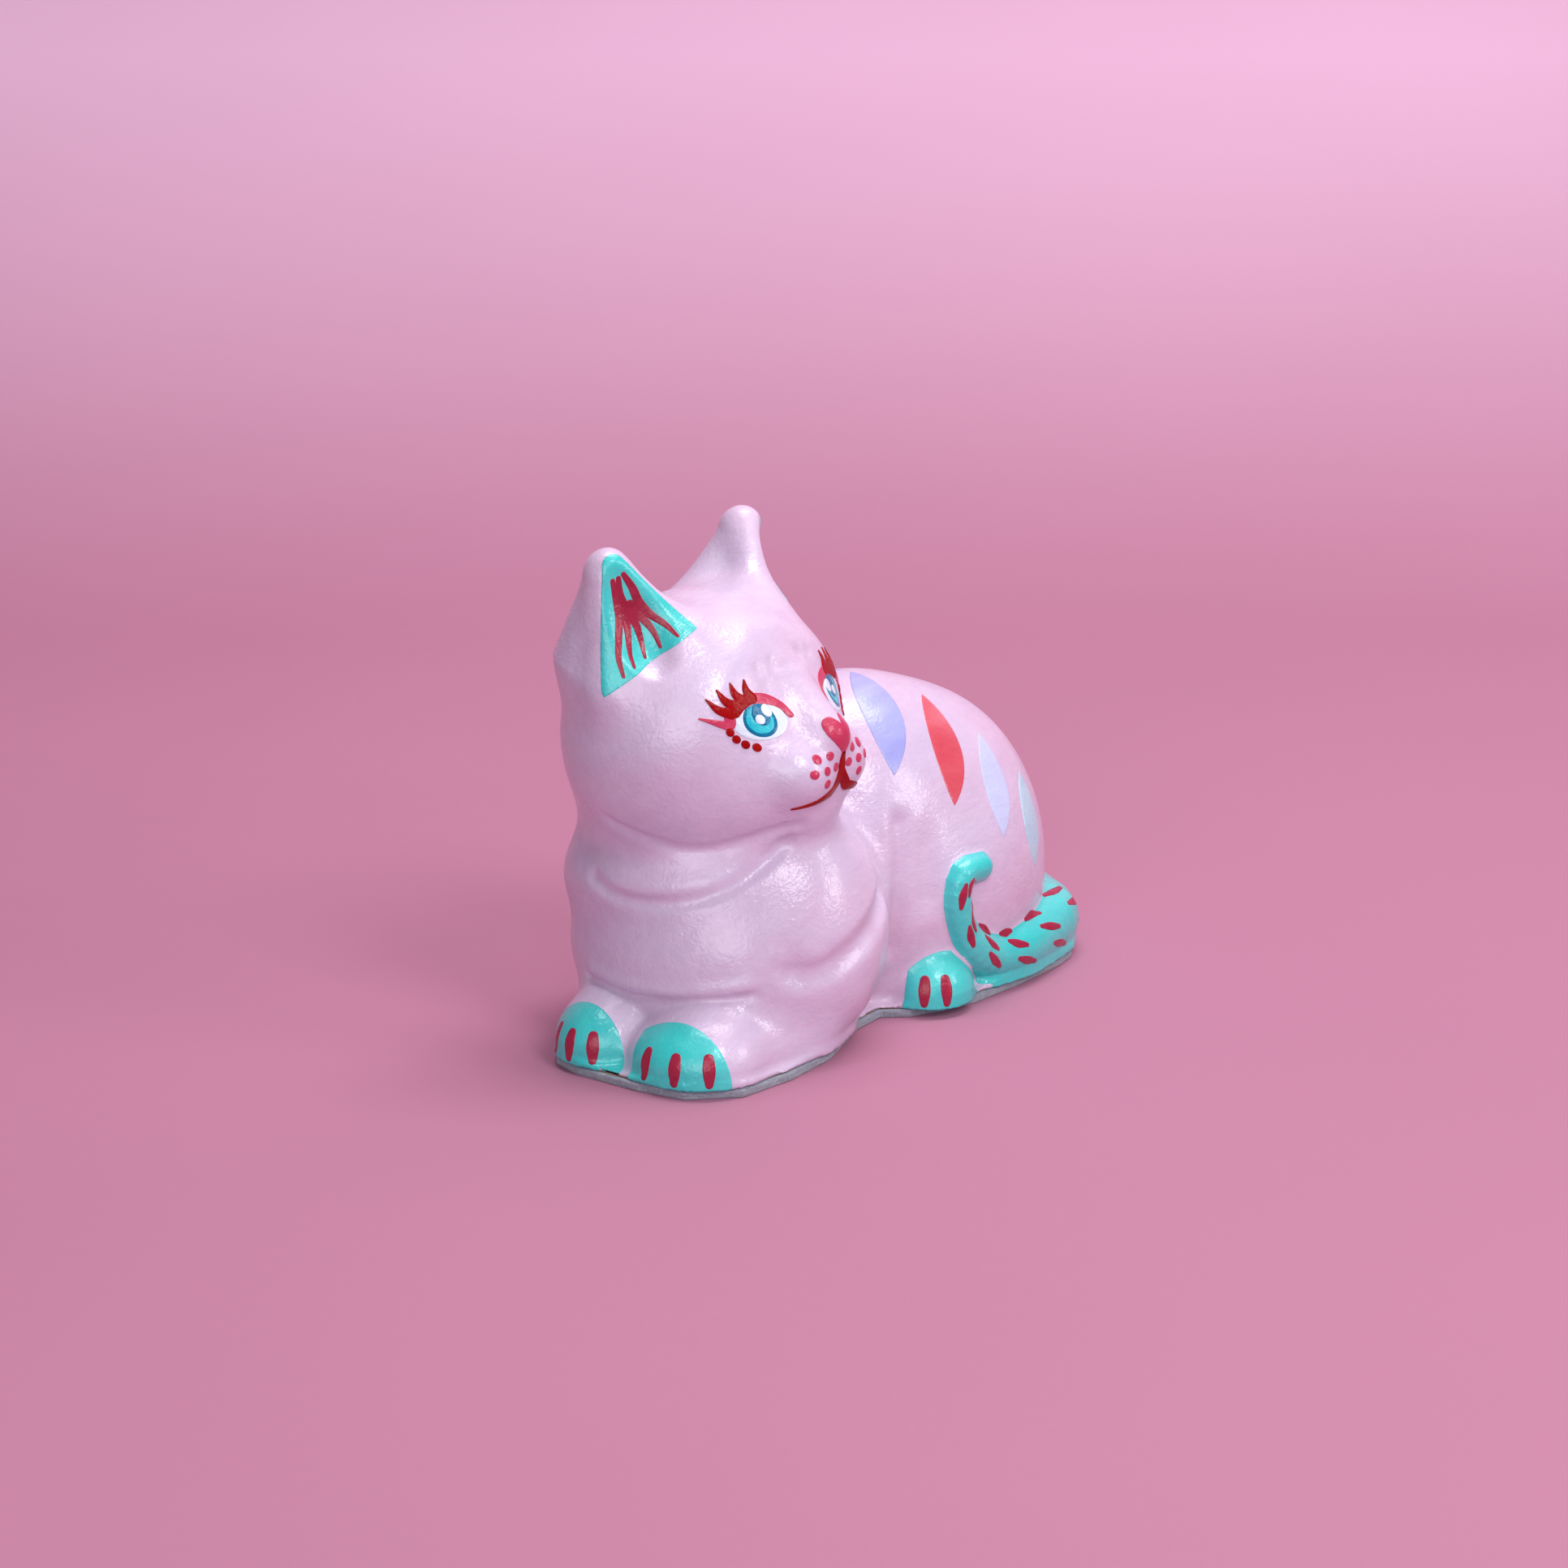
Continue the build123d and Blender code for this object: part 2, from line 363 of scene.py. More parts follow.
def surface_nets(values, low, step):
    """One vertex in each cell that the surface crosses, and a quad across each crossed edge."""
    inside = values < 0
    shape = np.array(values.shape) - 1
    corners = [(i, j, k) for i in (0, 1) for j in (0, 1) for k in (0, 1)]

    def corner(array, c):
        return array[tuple(slice(c[a], shape[a] + c[a]) for a in range(3))]

    count = sum(corner(inside, c).astype(int) for c in corners)
    cells = np.argwhere((count > 0) & (count < 8))
    number = -np.ones(shape, int)
    number[tuple(cells.T)] = np.arange(len(cells))
    total, hits = np.zeros((len(cells), 3)), np.zeros(len(cells))
    for a in corners:
        for b in corners:
            if a < b and sum(abs(p - q) for p, q in zip(a, b)) == 1:
                fa, fb = values[tuple((cells + a).T)], values[tuple((cells + b).T)]
                crossed = (fa < 0) != (fb < 0)
                t = np.where(crossed, fa / np.where(crossed, fa - fb, 1), 0)
                total += crossed[:, None] * (np.array(a) + (np.array(b) - np.array(a)) * t[:, None])
                hits += crossed
    vertices = low + (cells + total / hits[:, None]) * step
    quads = []
    for axis in range(3):
        ahead = np.roll(inside, -1, axis)
        crossed = np.argwhere(inside != ahead)
        u, v = (axis + 1) % 3, (axis + 2) % 3
        keep = (crossed[:, axis] < shape[axis]) & (crossed[:, u] > 0) & (crossed[:, v] > 0)
        keep &= (crossed[:, u] < shape[u]) & (crossed[:, v] < shape[v])
        crossed = crossed[keep]
        quad = []
        for du, dv in ((0, 0), (1, 0), (1, 1), (0, 1)):
            cell = crossed.copy()
            cell[:, u] -= du
            cell[:, v] -= dv
            quad.append(number[tuple(cell.T)])
        quad = np.stack(quad, 1)
        backwards = ~inside[tuple(crossed.T)]
        quad[backwards] = quad[backwards][:, ::-1]
        quads.append(quad)
    return vertices, np.concatenate(quads)


def make_object(name, vertices, faces, material, parent=None):
    mesh = bpy.data.meshes.new(name)
    mesh.from_pydata((np.asarray(vertices) * MM).tolist(), [], [list(map(int, f)) for f in faces])
    mesh.validate()
    mesh.polygons.foreach_set("use_smooth", [True] * len(mesh.polygons))
    mesh.materials.append(material)
    thing = bpy.data.objects.new(name, mesh)
    bpy.context.scene.collection.objects.link(thing)
    return thing


# ---------------------------------------------------------------- materials
def linear(*rgb):
    """sRGB 0-255 to linear."""
    out = []
    for value in rgb:
        c = value / 255
        out.append(c / 12.92 if c <= 0.04045 else ((c + 0.055) / 1.055) ** 2.4)
    return (*out, 1.0)


class Nodes:
    """Short ways to add and wire the nodes of one material."""

    def __init__(self, name):
        self.material = bpy.data.materials.new(name)
        self.material.use_nodes = True
        self.tree = self.material.node_tree
        self.tree.nodes.clear()
        self.coords = self.add("ShaderNodeTexCoord").outputs["Object"]

    def add(self, kind, **values):
        node = self.tree.nodes.new(kind)
        for key, value in values.items():
            if hasattr(node, key):
                setattr(node, key, value)
            else:
                node.inputs[key.replace("_", " ")].default_value = value
        return node

    def wire(self, source, target):
        self.tree.links.new(source, target)

    def noise(self, scale, detail=3.0, roughness=0.55, distortion=0.0, stretch=None):
        node = self.add("ShaderNodeTexNoise", Scale=scale, Detail=detail, Roughness=roughness,
                        Distortion=distortion)
        if stretch is None:
            self.wire(self.coords, node.inputs["Vector"])
        else:
            mapping = self.add("ShaderNodeMapping")
            mapping.inputs["Rotation"].default_value = stretch[0]
            mapping.inputs["Scale"].default_value = stretch[1]
            self.wire(self.coords, mapping.inputs["Vector"])
            self.wire(mapping.outputs["Vector"], node.inputs["Vector"])
        return node.outputs["Fac"]

    def ramp(self, source, stops):
        node = self.add("ShaderNodeValToRGB")
        elements = node.color_ramp.elements
        while len(elements) < len(stops):
            elements.new(0.5)
        for element, (place, colour) in zip(elements, stops):
            element.position, element.color = place, colour
        self.wire(source, node.inputs["Fac"])
        return node.outputs["Color"]

    def mix(self, factor, first, second, blend="MIX"):
        node = self.add("ShaderNodeMix", data_type="RGBA", blend_type=blend)
        for value, socket in ((factor, node.inputs[0]), (first, node.inputs[6]), (second, node.inputs[7])):
            if hasattr(value, "links"):
                self.wire(value, socket)
            else:
                socket.default_value = value
        return node.outputs[2]

    def bump(self, height, strength, distance, below=None):
        node = self.add("ShaderNodeBump", Strength=strength, Distance=distance)
        self.wire(height, node.inputs["Height"])
        if below is not None:
            self.wire(below, node.inputs["Normal"])
        return node.outputs["Normal"]

    def finish(self, colour, roughness, normal, **values):
        shader = self.add("ShaderNodeBsdfPrincipled", **values)
        for value, socket in ((colour, "Base Color"), (roughness, "Roughness"), (normal, "Normal")):
            if hasattr(value, "links"):
                self.wire(value, shader.inputs[socket])
            elif value is not None:
                shader.inputs[socket].default_value = value
        if normal is not None and "Coat_Weight" in values:
            self.wire(normal, shader.inputs["Coat Normal"])
        output = self.add("ShaderNodeOutputMaterial")
        self.wire(shader.outputs["BSDF"], output.inputs["Surface"])
        return self.material


def varnish_bump(nodes, strength=1.0):
    """Brush drag and orange peel left in the dried varnish."""
    drag = nodes.noise(420, 4, 0.6, 0.6, stretch=((0.5, 0.3, 0.9), (1.0, 0.35, 1.0)))
    peel = nodes.noise(900, 2, 0.5)
    swell = nodes.noise(95, 2, 0.5)
    normal = nodes.bump(swell, 0.22 * strength, 0.0008)
    normal = nodes.bump(drag, 0.42 * strength, 0.0004, normal)
    return nodes.bump(peel, 0.55 * strength, 0.0002, normal)


def painted(name, base, shades, gloss=0.30, strength=1.0, coat=0.45, specular=0.5):
    """Glossy hand-brushed paint: a base tone, with shades (colour, noise scale, amount)."""
    nodes = Nodes(name)
    colour = linear(*base)
    for shade, scale, amount in shades:
        fac = nodes.noise(scale, 4, 0.6, 0.8, stretch=((0.7, 0.2, 0.4), (1.0, 0.5, 1.0)))
        dark, light = (0, 0, 0, 1), (amount, amount, amount, 1)
        mask = nodes.ramp(fac, [(0.38, dark), (0.66, light)])
        colour = nodes.mix(mask, colour, linear(*shade))
    smooth, dull = (gloss - 0.06,) * 3 + (1,), (gloss + 0.1,) * 3 + (1,)
    rough = nodes.ramp(nodes.noise(60, 3), [(0.3, smooth), (0.7, dull)])
    return nodes.finish(colour, rough, varnish_bump(nodes, strength), IOR=1.5,
                        Specular_IOR_Level=specular, Coat_Weight=coat, Coat_Roughness=0.06)


BODY_PAINT = painted("paint_lilac", (210, 188, 214),
                     [((224, 200, 226), 22, 0.8), ((205, 160, 190), 38, 0.45), ((196, 184, 216), 15, 0.5),
                      ((228, 208, 232), 240, 0.25)], gloss=0.32)
TEAL = painted("paint_teal", (56, 202, 198), [((92, 214, 210), 70, 0.6), ((36, 172, 182), 110, 0.35)])
CRIMSON = painted("paint_crimson", (154, 24, 56), [((182, 48, 80), 160, 0.5)], coat=0.3, specular=0.25)
DARK_RED = painted("paint_dark_red", (146, 2, 6), [((172, 10, 14), 200, 0.4)], coat=0.12, specular=0.08)
ROSE = painted("paint_rose", (192, 48, 86), [((208, 80, 108), 180, 0.4)], coat=0.3, specular=0.25)
WHITE = painted("paint_white", (212, 222, 238), [((226, 232, 244), 150, 0.5)], gloss=0.25)
DEEP_TEAL = painted("paint_deep_teal", (3, 104, 146), [((8, 130, 168), 220, 0.5)], 0.2, 1.0, 0.3, 0.2)
IRIS = painted("paint_iris", (30, 180, 200), [((76, 208, 216), 200, 0.5)], 0.2, 1.0, 0.3, 0.25)
LAVENDER = painted("paint_lavender", (158, 162, 224),
                   [((186, 190, 238), 45, 0.6), ((140, 142, 208), 70, 0.4)], coat=0.35)
CORAL = painted("paint_coral", (214, 84, 98),
                [((228, 122, 132), 45, 0.7), ((196, 44, 62), 80, 0.35)], coat=0.35)
SKY = painted("paint_sky", (194, 202, 240), [((208, 216, 246), 60, 0.6)])
PALE_TEAL = painted("paint_pale_teal", (170, 210, 228), [((190, 222, 236), 60, 0.6)])


# ---------------------------------------------------------------- the casting
low = np.array([-56.0, -108.0, -2.0]) + CENTRE
high = np.array([56.0, 108.0, 160.0]) + CENTRE
values = sample_grid(cat_field, low, high, GRID)
cat_vertices, cat_quads = surface_nets(values, low, GRID)
cat_vertices = settle(cat_field, cat_vertices, 2)
cat_vertices[:, 2] = np.maximum(cat_vertices[:, 2], SHELL_FLOOR)
cat = make_object("cat_casting", cat_vertices, cat_quads, BODY_PAINT)
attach(cat, "root")
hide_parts("cat_shell")

cat_triangles = np.concatenate([cat_quads[:, [0, 1, 2]], cat_quads[:, [0, 2, 3]]])


# ---------------------------------------------------------------- paint films
def face_chart(p):
    """Across and up, as the face is seen from in front."""
    return in_head(p)[:, [0, 2]]


def back_chart(p):
    """Along the back and round it from the spine, the cat's left flank positive."""
    round_back = np.degrees(np.arctan2(p[:, 0] - MIDLINE, p[:, 2] - 30)) * 0.9
    return np.stack([p[:, 1], round_back], 1)


def patch(chart, points):
    outline = smooth_curve(points, closed=True)
    return lambda p: polygon_gap(chart(p), outline)


def oval(chart, centre, radii, tilt=0.0):
    c, s = math.cos(math.radians(tilt)), math.sin(math.radians(tilt))

    def gap(p):
        q = (chart(p) - centre) @ np.array([[c, -s], [s, c]]) / radii
        return (np.linalg.norm(q, axis=1) - 1) * min(radii)

    return gap


def stroke(chart, points):
    """A brush stroke: points across, up and half width in the chart."""
    curve = smooth_curve(points)
    return lambda p: curve_gap(chart(p), curve)


def stroke_on(points):
    """A brush stroke through points in space, laid on the surface: x, y, z, half width."""
    curve = smooth_curve(points, steps=4)
    curve[:, :3] = settle(plain_field, curve[:, :3])
    return lambda p: curve_gap(p, curve)


def within(gap, *limits):
    """The part of a region inside all the limits."""
    return lambda p: np.max([gap(p)] + [limit(p) for limit in limits], axis=0)


def on_body(p):
    return body_field(p) - head_field(p) + 1.5


def in_front(p):
    return in_head(p)[:, 1] + 15


LIFT, BODY_OF_PAINT, SKIRT = 0.08, 0.09, 0.16


def film(name, material, layer, regions, levels=1, facing=None):
    """One coat of a paint: the surface inside each region, raised off it by its layer."""
    all_vertices, all_faces, start = [], [], 0
    layer_lift = LIFT + layer * 0.11
    for region in regions:
        gap = region(cat_vertices)
        reach = 1.6 * GRID
        chosen = cat_triangles[(gap[cat_triangles] < reach).any(1)]
        if facing is not None:
            corners = cat_vertices[chosen]
            normals = np.cross(corners[:, 1] - corners[:, 0], corners[:, 2] - corners[:, 0])
            chosen = chosen[normals @ facing > 0]
        if not len(chosen):
            continue
        used, inverse = np.unique(chosen, return_inverse=True)
        vertices, triangles = cat_vertices[used], inverse.reshape(-1, 3)
        for level in range(levels + (0)):
            edges = np.sort(triangles[:, [0, 1, 1, 2, 2, 0]].reshape(-1, 2), axis=1)
            unique, where = np.unique(edges, axis=0, return_inverse=True)
            middles = (vertices[unique[:, 0]] + vertices[unique[:, 1]]) / 2
            m = where.reshape(-1, 3) + len(vertices)
            a, b, c = triangles.T
            triangles = np.concatenate([
                np.stack([a, m[:, 0], m[:, 2]], 1), np.stack([m[:, 0], b, m[:, 1]], 1),
                np.stack([m[:, 2], m[:, 1], c], 1), m])
            vertices = np.vstack([vertices, middles])
            gap = region(vertices)
            triangles = triangles[(gap[triangles] < reach / 2 ** (level + 1)).any(1)]
            used, inverse = np.unique(triangles, return_inverse=True)
            vertices, triangles = vertices[used], inverse.reshape(-1, 3)
        vertices = settle(cat_field, vertices, 2)
        vertices, triangles, rim = clip(vertices, triangles, region(vertices))
        if not len(triangles):
            continue
        normal = gradient(cat_field, vertices)
        normal /= np.maximum(np.linalg.norm(normal, axis=1, keepdims=True), 1e-6)
        depth = np.minimum(region(vertices), 0)
        raised = vertices + normal * (layer_lift + BODY_OF_PAINT * (1 - np.exp(depth / 0.3)))[:, None]
        rim_points, inverse = np.unique(rim, return_inverse=True)
        foot = inverse.reshape(-1, 2) + len(vertices)
        sunk = vertices[rim_points] - normal[rim_points] * SKIRT
        all_vertices += [raised, sunk]
        all_faces += [list(t + start) for t in triangles]
        all_faces += [[a + start, b + start, d + start, c + start]
                      for (b, a), (d, c) in zip(rim, foot)]
        start += len(vertices) + len(sunk)
    made = make_object(name, np.vstack(all_vertices), all_faces, material)
    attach(made, "root")
    return made


def clip(vertices, triangles, gap):
    """Keeps what is inside gap = 0. Returns vertices, triangles and the rim's directed edges."""
    inside = gap < 0
    kept = triangles[inside[triangles].all(1)]
    mixed = triangles[inside[triangles].any(1) & ~inside[triangles].all(1)]
    new, new_index, faces, rim = [], {}, [], []

    def crossing(a, b):
        key = (min(a, b), max(a, b))
        if key not in new_index:
            t = gap[a] / (gap[a] - gap[b])
            new_index[key] = len(vertices) + len(new)
            new.append(vertices[a] + (vertices[b] - vertices[a]) * t)
        return new_index[key]

    for tri in mixed.tolist():
        while not (inside[tri[0]] and not inside[tri[2]]):
            tri = tri[1:] + tri[:1]
        a, b, c = tri
        if inside[b]:
            p, q = crossing(b, c), crossing(a, c)
            faces += [(a, b, p), (a, p, q)]
            rim.append((p, q))
        else:
            p, q = crossing(a, b), crossing(a, c)
            faces.append((a, p, q))
            rim.append((p, q))
    if new:
        vertices = np.vstack([vertices, new])
        triangles = np.vstack([kept, faces])
    else:
        triangles = kept
    if not len(triangles):
        return vertices, triangles, np.zeros((0, 2), int)
    used, inverse = np.unique(triangles, return_inverse=True)
    place = -np.ones(len(vertices), int)
    place[used] = np.arange(len(used))
    rim = place[np.array(rim, int).reshape(-1, 2)]
    return vertices[used], inverse.reshape(-1, 3), rim


FORWARD = HEAD_TURN @ np.array([0.0, -1.0, 0.0])


def both_sides(make, *shapes):
    """The same shapes on both sides of the face."""
    out = []
    for shape in shapes:
        for side in (-1, 1):
            out.append(within(make(side, shape), in_front))
    return out


def face_stroke(side, points):
    return stroke(face_chart, [(-side * x, z, w) for x, z, w in points])


def face_oval(side, shape):
    x, z, across, up, tilt = shape
    return oval(face_chart, np.array([-side * x, z]), np.array([across, up]), -side * tilt)


def arc(centre, radii, angles, widths):
    """Points and half widths along part of an ellipse, in degrees from across."""
    return [(centre[0] + radii[0] * math.cos(math.radians(a)),
             centre[1] + radii[1] * math.sin(math.radians(a)), w) for a, w in zip(angles, widths)]


# The face is drawn for the cat's right side, with across negative, then mirrored.
EYE = (-18.8, 11.0)
film("paint_eye_white", WHITE, 0, both_sides(face_oval, (*EYE, 8.0, 5.5, 0)), 2, FORWARD)
film("paint_iris_ring", DEEP_TEAL, 1,
     both_sides(face_oval, (*EYE, 4.9, 4.7, 10)), 2, FORWARD)
film("paint_iris_light", IRIS, 2, both_sides(face_oval, (*EYE, 4.0, 3.8, 10)), 2, FORWARD)
film("paint_pupil", DEEP_TEAL, 3,
     both_sides(face_oval, (EYE[0] + 0.7, EYE[1] + 1.2, 2.6, 3.0, 10)), 2, FORWARD)
film("paint_eye_lights", WHITE, 4,
     both_sides(face_oval, (EYE[0] + 2.9, EYE[1] + 2, 1.5, 1.8, 10), (*EYE, 1.4, 1.3, 0)), 2, FORWARD)

LID = [(-34, 13.5, 0.3)] + arc(EYE, (9.2, 5.6), range(180, -1, -30), (1.4, 1.6, 1.7, 1.7, 1.5, 1.1, 0.8))
film("paint_lids", ROSE, 1, both_sides(face_stroke, LID), 2, FORWARD)

LASHES = [arc(EYE, (7.5, 6.2), (150, 120, 90), (1.5, 1.8, 1.4))]
for k in range(4):
    (x, z, w), = arc(EYE, (9, 6), (150 - 20 * k,), (1.6,))
    lean, length = math.radians(135 - 13.5 * k), 6.2 - 0.35 * k
    sag = lean + math.radians(18)
    LASHES.append([(x, z, w), (x + length / 2 * math.cos(sag), z + length / 2 * math.sin(sag), 1.1),
                   (x + length * math.cos(lean), z + length * math.sin(lean), 0.2)])
EYE_DOTS = [(x, z, r, r * 1.1, 10) for x, z, r in arc(EYE, (9.6, 7.6), range(195, 250, 18), (1.1,) * 4)]
MOUTH = [(0, -1.2, 0.8), (0, -6, 1.4)]
MOUTH += [(-15.5 * t, -9 - 6 * t**0.6, 0.3 + 1.6 * (1 - t)) for t in (0.2, 0.4, 0.7, 1.0)]
film("paint_lashes_mouth", DARK_RED, 2,
     both_sides(face_stroke, *LASHES, MOUTH) + both_sides(face_oval, *EYE_DOTS), 2, FORWARD)

NOSE = []
for a in np.radians(np.arange(0, 360, 24)):
    lobes = 13 * math.cos(a) - 5 * math.cos(2 * a) - 2 * math.cos(3 * a) - math.cos(4 * a)
    NOSE.append((5.4 * math.sin(a) ** 3, 4.6 + 0.42 * lobes))
MUZZLE_DOTS = [(-8.2 + 4.9 * (i - (count - 1) / 2), -0.8 - 3.8 * row, 1.4, 1.3, 0)
               for row, count in enumerate((2, 3, 1)) for i in range(count)]
film("paint_nose_dots", ROSE, 1,
     [within(patch(face_chart, NOSE), in_front)] + both_sides(face_oval, *MUZZLE_DOTS), 2, FORWARD)

# Ears: teal inside, with crimson hairs fanned from the tip.
EAR_PAINT_MARGIN = 3.6
EAR_HAIR_COUNT = 5


def ear_paint():
    """The teal and the hairs, drawn on each ear's own plane and kept to its front face."""
    teal, hairs = [], []
    for side, tip, inner, outer, dish, axes in EARS:
        across, facing, up = axes.T

        def chart(p, side=side, tip=tip, across=across, up=up):
            return np.stack([side * ((p - tip) @ across), (p - tip) @ up], 1)

        top, front, back = corners = chart(np.array([tip, inner, outer]))
        base = (back - front) / np.linalg.norm(back - front)
        below = np.array([-base[1], base[0]])

        def limits(p, side=side, tip=tip, facing=facing, chart=chart, front=front, below=below):
            depth = (p - tip) @ facing
            rim = chart(p) @ (0.9, 0.44) if side > 0 else depth - 14
            return np.max([2.2 - depth, depth - 14, rim, (chart(p) - front) @ below], axis=0)

        def plate(p, chart=chart, corners=corners):
            return polygon_gap(chart(p), corners) - EAR_PAINT_MARGIN

        teal.append(within(plate, limits))
        for k in range(EAR_HAIR_COUNT):
            end = front + (back - front) * (k + 0.6) / (EAR_HAIR_COUNT + 0.2)
            sideways = np.array([-(end - top)[1], (end - top)[0]]) / np.linalg.norm(end - top)
            line = []
            for t in np.linspace(0.42 if k % 2 else 0.12, 0.94, 6):
                place = top + (end - top) * t + sideways * 0.8 * math.sin(9 * t + k)
                line.append((*place, 0.5 + 0.8 * math.sin(math.pi * min(1, 1.1 * t))))
            hairs.append(within(stroke(chart, line), limits))
    return teal, hairs


ear_teal, ear_hairs = ear_paint()
film("paint_ear_teal", TEAL, 0, ear_teal, 1)
film("paint_ear_hairs", CRIMSON, 1, ear_hairs, 2)


# Paws and tail are teal. Crimson lines part the toes.
def toes(centre, radii):
    return lambda p: ellipsoid(p, centre, radii)


def above_foot(p):
    return np.stack([p[:, 0], p[:, 1], np.maximum(p[:, 2], 7)], 1)


def left_of(x):
    return lambda p: x - p[:, 0]


def right_of(x):
    return lambda p: p[:, 0] - x


film("paint_paw_teal", TEAL, 0,
     [within(toes((21.5, -108, 2), (24, 22.5, 24)), left_of(8.2)),
      within(toes((-13.5, -108, 3), (19, 21, 22)), right_of(7.6)),
      within(toes((36, 10.5, 5), (14.8, 15.2, 15.8)), left_of(36), lambda p: 2.2 - tail_field(p)),
      within(toes((-38, 10.5, 5), (14.8, 15.2, 15.8)), right_of(-38)),
      lambda p: np.maximum(tail_field(above_foot(p)) - 0.6, -2 - p[:, 0])], 1)
PAWS = [((19, -85), (20, 18), 18, 3), ((-11.7, -86.5), (15, 17), -5, 3),
        ((36, 10.5), (13.5, 14), 43, 2), ((-38, 10.5), (13.5, 14), -43, 2)]
TOE_LINES = []
for (x, y), (across, along), middle, count in PAWS:
    for k in range(count):
        a = math.radians(middle + 30 * (k - (count - 1) / 2))
        TOE_LINES.append([(x + across * math.sin(a), y - along * math.cos(a), z, w)
                          for z, w in ((13, 1.5), (9, 1.9), (5, 1.2))])

# Dashes in staggered rows round the outside of the tail.
TAIL_LINES = []
for row, angle in enumerate((-38, 4, 46)):
    for start in range(1 + row, len(TAIL_CURVE) - 3, 4):
        dash = []
        for k in range(3):
            place, radius = TAIL_CURVE[start + k, :3], TAIL_CURVE[start + k, 3]
            along = TAIL_CURVE[start + k + 1, :3] - TAIL_CURVE[start + k - 1, :3]
            along /= np.linalg.norm(along)
            out = np.array([1, 0, 0.25]) - along * (along @ (1, 0, 0.25))
            out /= np.linalg.norm(out)
            a = math.radians(angle + 10 * k)
            around = out * math.cos(a) + np.cross(along, out) * math.sin(a)
            dash.append((*(place + around * radius), (0.7, 1.4, 0.7)[k]))
        TAIL_LINES.append(dash)
film("paint_toe_tail_lines", CRIMSON, 1,
     [stroke_on(line) for line in TOE_LINES + TAIL_LINES], 1)


# Four plain leaves of one colour each fan down both flanks from the back.
LEAF_HALF_LENGTH, LEAF_HALF_WIDTH = 17, 6.5
LEAF_LOWEST = 34
LEAF_TO_TAIL = 3.5


def leaf(centre, half_length, half_width, tilt):
    c, s = math.cos(math.radians(tilt)), math.sin(math.radians(tilt))

    def gap(p):
        along, over = ((back_chart(p) - centre) @ np.array([[c, -s], [s, c]])).T
        return np.abs(over) - half_width * (1 - (along / half_length) ** 2)

    return gap


LEAVES = [("paint_lavender_petals", LAVENDER), ("paint_coral_petals", CORAL),
          ("paint_sky_petals", SKY), ("paint_rump_patches", PALE_TEAL)]
for k, (name, paint) in enumerate(LEAVES):
    both = []
    for side in (1, -1):
        centre = np.array([8.0 + 17 * k, side * (16.0 + 14 * k)])
        shape = leaf(centre, LEAF_HALF_LENGTH, LEAF_HALF_WIDTH, side * (120 - 6 * k))
        both.append(within(shape, on_body, lambda p: LEAF_LOWEST - p[:, 2],
                           lambda p: LEAF_TO_TAIL - tail_field(p)))
    film(name, paint, 0, both, 2)


# ---------------------------------------------------------------- felt pad and glue
rng = np.random.default_rng(7)


def felt_pad():
    """The pad with a frayed, slightly rounded cut edge and a soft surface."""
    outline = pad_outline("base_pad")
    rim = []
    for a, b in zip(outline, np.roll(outline, -1, 0)):
        count = max(2, int(np.linalg.norm(b - a) / 0.9))
        rim += [a + (b - a) * i / count for i in range(count)]
    rim = np.array(rim)
    tangent = np.roll(rim, -1, 0) - np.roll(rim, 1, 0)
    outward = np.stack([tangent[:, 1], -tangent[:, 0]], 1)
    outward /= np.linalg.norm(outward, axis=1, keepdims=True)
    thick = pad_high[2] - pad_low[2]
    levels = [(0.0, 0.45), (0.12, 0.12), (0.3, 0.0), (0.5, 0.08), (0.7, 0.0), (0.88, 0.1), (1.0, 0.5)]
    rows = []
    for height, inset in levels:
        fray = rng.normal(0, 0.07, len(rim))
        fray = (fray + np.roll(fray, 1) + np.roll(fray, -1)) / 2
        inward = np.clip(inset + 0.12 + fray, 0.0, 1.2)
        row = np.zeros((len(rim), 3))
        row[:, :2] = rim - outward * inward[:, None]
        row[:, 2] = pad_low[2] + thick * height
        rows.append(row)
    n = len(rim)
    vertices = np.vstack(rows)
    faces = []
    for r in range(len(rows) - 1):
        for i in range(n):
            j = (i + 1) % n
            faces.append([r * n + i, r * n + j, (r + 1) * n + j, (r + 1) * n + i])
    rings = [vertices[:n], vertices[-n:]]
    centre = np.array([0.0, 0.0])
    for ring, base, flip in ((rings[0], 0, True), (rings[1], (len(rows) - 1) * n, False)):
        previous = list(range(base, base + n))
        for share in (0.9, 0.75, 0.55, 0.3):
            inner = ring.copy()
            inner[:, 0] = inner[:, 0] * share
            inner[:, 1] = inner[:, 1] * share
            start = len(vertices)
            vertices = np.vstack([vertices, inner])
            current = list(range(start, start + n))
            for i in range(n):
                j = (i + 1) % n
                face = [previous[i], previous[j], current[j], current[i]]
                faces.append(face[::-1] if flip else face)
            previous = current
        vertices = np.vstack([vertices, [[centre[0], centre[1], ring[0, 2]]]])
        tip = len(vertices) - 1
        for i in range(n):
            face = [previous[i], previous[(i + 1) % n], tip]
            faces.append(face[::-1] if flip else face)
    return vertices, faces


